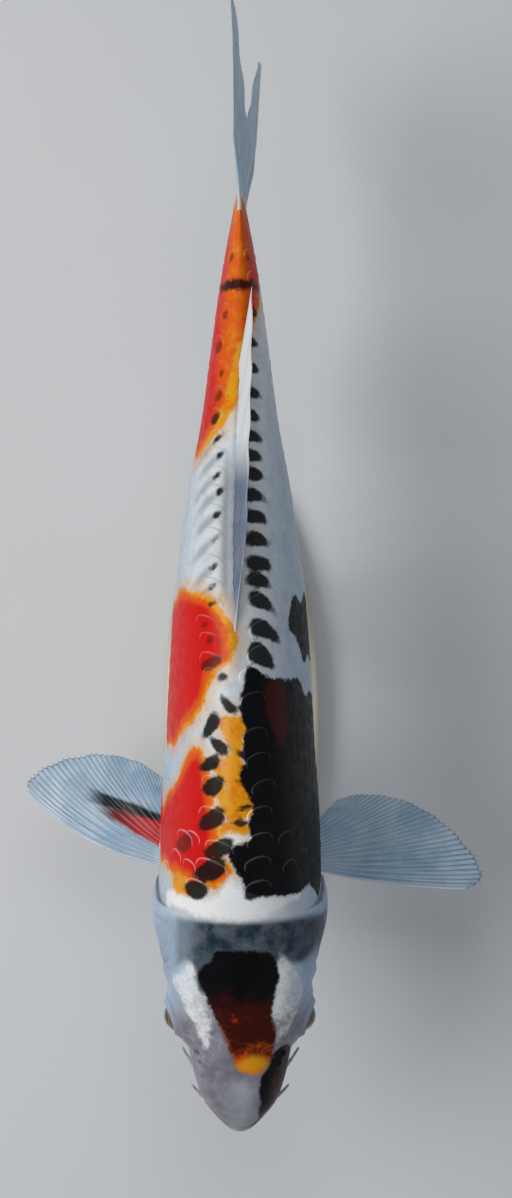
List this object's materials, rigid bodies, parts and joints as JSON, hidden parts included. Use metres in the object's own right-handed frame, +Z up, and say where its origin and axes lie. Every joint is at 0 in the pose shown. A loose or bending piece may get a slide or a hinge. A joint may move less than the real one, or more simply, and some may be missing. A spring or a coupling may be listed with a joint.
{
  "type": "koi carp model on a display stand",
  "caption": "Still life-size koi carp in a level swimming pose, held over an oval base by slim rods under its belly.",
  "frame": {"origin": "centre of the underside of the stand's base", "axes": "+Z up through the fish's back, +Y along the fish towards its tail, +X towards the fish's left side"},
  "size_m": [0.1915, 0.4392, 0.1788],
  "materials": {
    "skin": "wet gloss; white with orange-red patches and black markings",
    "gill_cover": "wet gloss, grey teal with a pale edge",
    "fin": "thin, translucent, with fine rays",
    "eye": "high gloss, dark pupil and golden brown iris",
    "barbel": "soft gloss",
    "stand_wood": "pale satin lacquered wood",
    "stand_steel": "brushed"
  },
  "bodies": {
    "root": {"head": "skin", "lower_jaw": "skin", "gill_cover_right": "gill_cover", "gill_cover_left": "gill_cover", "trunk": "skin", "tail": "skin", "eye_right": "eye", "eye_left": "eye", "barbel_upper_right": "barbel", "barbel_upper_left": "barbel", "barbel_lower_right": "barbel", "barbel_lower_left": "barbel", "dorsal_fin": "fin", "anal_fin": "fin", "tail_fin": "fin", "pectoral_fin_right": "fin", "pectoral_fin_left": "fin", "pelvic_fin_right": "fin", "pelvic_fin_left": "fin", "stand_base": "stand_wood", "stand_rod_front": "stand_steel", "stand_rod_rear": "stand_steel"}
  },
  "joints": []
}
